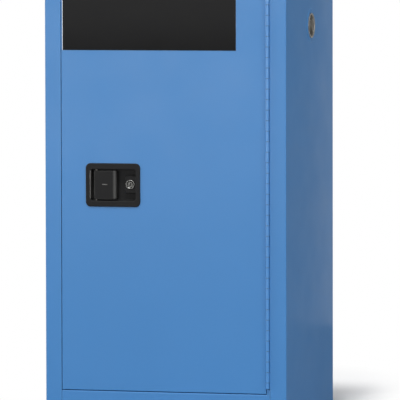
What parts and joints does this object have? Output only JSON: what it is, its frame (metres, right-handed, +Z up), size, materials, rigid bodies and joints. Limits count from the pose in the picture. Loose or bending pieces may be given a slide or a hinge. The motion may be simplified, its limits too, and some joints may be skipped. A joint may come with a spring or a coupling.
{
  "type": "corrosives safety cabinet",
  "caption": "Tall double-walled steel safety cabinet with a door on a full-length hinge, a recessed paddle latch with a lock, a blank sign panel and capped side vents",
  "frame": {"origin": "on the floor, under the middle of the carcass", "axes": "+X to the viewer's right facing the door, +Y from the door to the back, +Z up"},
  "size_m": [0.6242, 0.4642, 1.1176],
  "materials": {
    "blue_powder_coat": "semi-gloss blue powder coat, faint fine texture",
    "blue_powder_coat_inside": "semi-gloss blue powder coat inside the cabinet",
    "bare_steel": "bare pressed steel out of sight",
    "plated_steel": "zinc-plated steel",
    "hinge_steel": "hinge painted with the body",
    "blue_powder_coat_door": "semi-gloss blue powder coat, faint fine texture",
    "sign_black": "black vinyl, blank, with a thin pale left edge",
    "black_cast": "black semi-gloss paint on a die casting",
    "lock_chrome": "bright nickel or chrome plate",
    "black_poly": "black polyethylene",
    "rubber": "black rubber"
  },
  "bodies": {
    "cabinet": {"side_left": "blue_powder_coat", "side_right": "blue_powder_coat", "top_panel": "blue_powder_coat", "back_panel": "blue_powder_coat", "base_panel": "blue_powder_coat", "door_sill": "blue_powder_coat", "liner_left": "blue_powder_coat_inside", "liner_right": "blue_powder_coat_inside", "liner_top": "blue_powder_coat_inside", "liner_back": "blue_powder_coat_inside", "liner_floor": "blue_powder_coat_inside", "door_stops": "blue_powder_coat_inside", "strike_plates": "bare_steel", "shelf_standards": "plated_steel", "shelf_clips": "plated_steel", "vent_tubes": "blue_powder_coat", "vent_bungs": "blue_powder_coat", "flame_arresters": "plated_steel", "hinge_leaf_frame": "hinge_steel", "hinge_packing": "hinge_steel", "hinge_pin": "hinge_steel", "foot_nuts": "bare_steel", "ground_terminal": "plated_steel"},
    "door": {"door_skin": "blue_powder_coat_door", "door_liner": "blue_powder_coat_inside", "hinge_leaf_door": "hinge_steel", "sign_plate": "sign_black", "latch_cover": "blue_powder_coat_inside", "cover_screws": "plated_steel", "latch_housing": "black_cast", "latch_clamp": "plated_steel", "latch_nuts": "plated_steel", "paddle_pin": "bare_steel", "paddle_spring": "bare_steel", "lock_barrel": "lock_chrome", "lock_nut": "plated_steel", "rod_guides": "bare_steel", "bolt_guide": "bare_steel"},
    "paddle": {"paddle": "black_cast"},
    "lock_core": {"lock_plug": "lock_chrome", "lock_cam": "plated_steel"},
    "centre_bolt": {"centre_bolt": "plated_steel"},
    "latch_rotor": {"latch_rotor": "plated_steel"},
    "top_rod": {"top_rod": "plated_steel"},
    "bottom_rod": {"bottom_rod": "plated_steel"},
    "shelf": {"shelf": "blue_powder_coat_inside"},
    "shelf_tray": {"shelf_tray": "black_poly"},
    "floor_tray": {"floor_tray": "black_poly"},
    "vent_plug_right": {"vent_plug_right": "plated_steel", "vent_gasket_right": "rubber"},
    "vent_plug_left": {"vent_plug_left": "plated_steel", "vent_gasket_left": "rubber"},
    "foot_front_left": {"foot_stud_front_left": "plated_steel", "foot_pad_front_left": "rubber"},
    "foot_front_right": {"foot_stud_front_right": "plated_steel", "foot_pad_front_right": "rubber"},
    "foot_rear_left": {"foot_stud_rear_left": "plated_steel", "foot_pad_rear_left": "rubber"},
    "foot_rear_right": {"foot_stud_rear_right": "plated_steel", "foot_pad_rear_right": "rubber"}
  },
  "joints": [
    {"name": "door_swing", "type": "hinge", "parent": "cabinet", "child": "door", "pos_m": [0.25845, -0.2312, 0.5756], "axis": [0, 0, 1], "range_deg": [0, 180]},
    {"name": "paddle_pull", "type": "hinge", "parent": "door", "child": "paddle", "pos_m": [-0.176, -0.2216, 0.5785], "axis": [0, 0, -1], "range_deg": [0, 32], "stiffness_Nm_per_rad": 0.6, "springref_deg": -20.05},
    {"name": "bolt_slide", "type": "slide", "parent": "door", "child": "centre_bolt", "axis": [1, 0, 0], "range_m": [0, 0.0134]},
    {"name": "rotor_turn", "type": "hinge", "parent": "door", "child": "latch_rotor", "pos_m": [-0.225, -0.19635, 0.608], "axis": [0, -1, 0], "range_deg": [0, 38]},
    {"name": "top_rod_slide", "type": "slide", "parent": "door", "child": "top_rod", "axis": [0, 0, -1], "range_m": [0, 0.0111]},
    {"name": "bottom_rod_slide", "type": "slide", "parent": "door", "child": "bottom_rod", "axis": [0, 0, 1], "range_m": [0, 0.0111]},
    {"name": "key_turn", "type": "hinge", "parent": "door", "child": "lock_core", "pos_m": [-0.0901, -0.2086, 0.5799], "axis": [0, 1, 0], "range_deg": [0, 90]},
    {"name": "shelf_lift", "type": "slide", "parent": "cabinet", "child": "shelf", "axis": [0, 0, 1], "range_m": [0, 0.06]},
    {"name": "shelf_tray_lift", "type": "slide", "parent": "shelf", "child": "shelf_tray", "axis": [0, 0, 1], "range_m": [0, 0.05]},
    {"name": "floor_tray_lift", "type": "slide", "parent": "cabinet", "child": "floor_tray", "axis": [0, 0, 1], "range_m": [0, 0.05]},
    {"name": "vent_plug_right_out", "type": "slide", "parent": "cabinet", "child": "vent_plug_right", "axis": [1, 0, 0], "range_m": [0, 0.06]},
    {"name": "vent_plug_left_out", "type": "slide", "parent": "cabinet", "child": "vent_plug_left", "axis": [-1, 0, 0], "range_m": [0, 0.06]},
    {"name": "foot_front_left_adjust", "type": "slide", "parent": "cabinet", "child": "foot_front_left", "axis": [0, 0, -1], "range_m": [0, 0.02]},
    {"name": "foot_front_right_adjust", "type": "slide", "parent": "cabinet", "child": "foot_front_right", "axis": [0, 0, -1], "range_m": [0, 0.02]},
    {"name": "foot_rear_left_adjust", "type": "slide", "parent": "cabinet", "child": "foot_rear_left", "axis": [0, 0, -1], "range_m": [0, 0.02]},
    {"name": "foot_rear_right_adjust", "type": "slide", "parent": "cabinet", "child": "foot_rear_right", "axis": [0, 0, -1], "range_m": [0, 0.02]}
  ],
  "couplings": [
    {"joint": "bolt_slide", "follows": "paddle_pull", "m_per_rad": 0.023993},
    {"joint": "rotor_turn", "follows": "paddle_pull", "ratio": 1.1875},
    {"joint": "top_rod_slide", "follows": "paddle_pull", "m_per_rad": 0.019874},
    {"joint": "bottom_rod_slide", "follows": "paddle_pull", "m_per_rad": 0.019874}
  ]
}
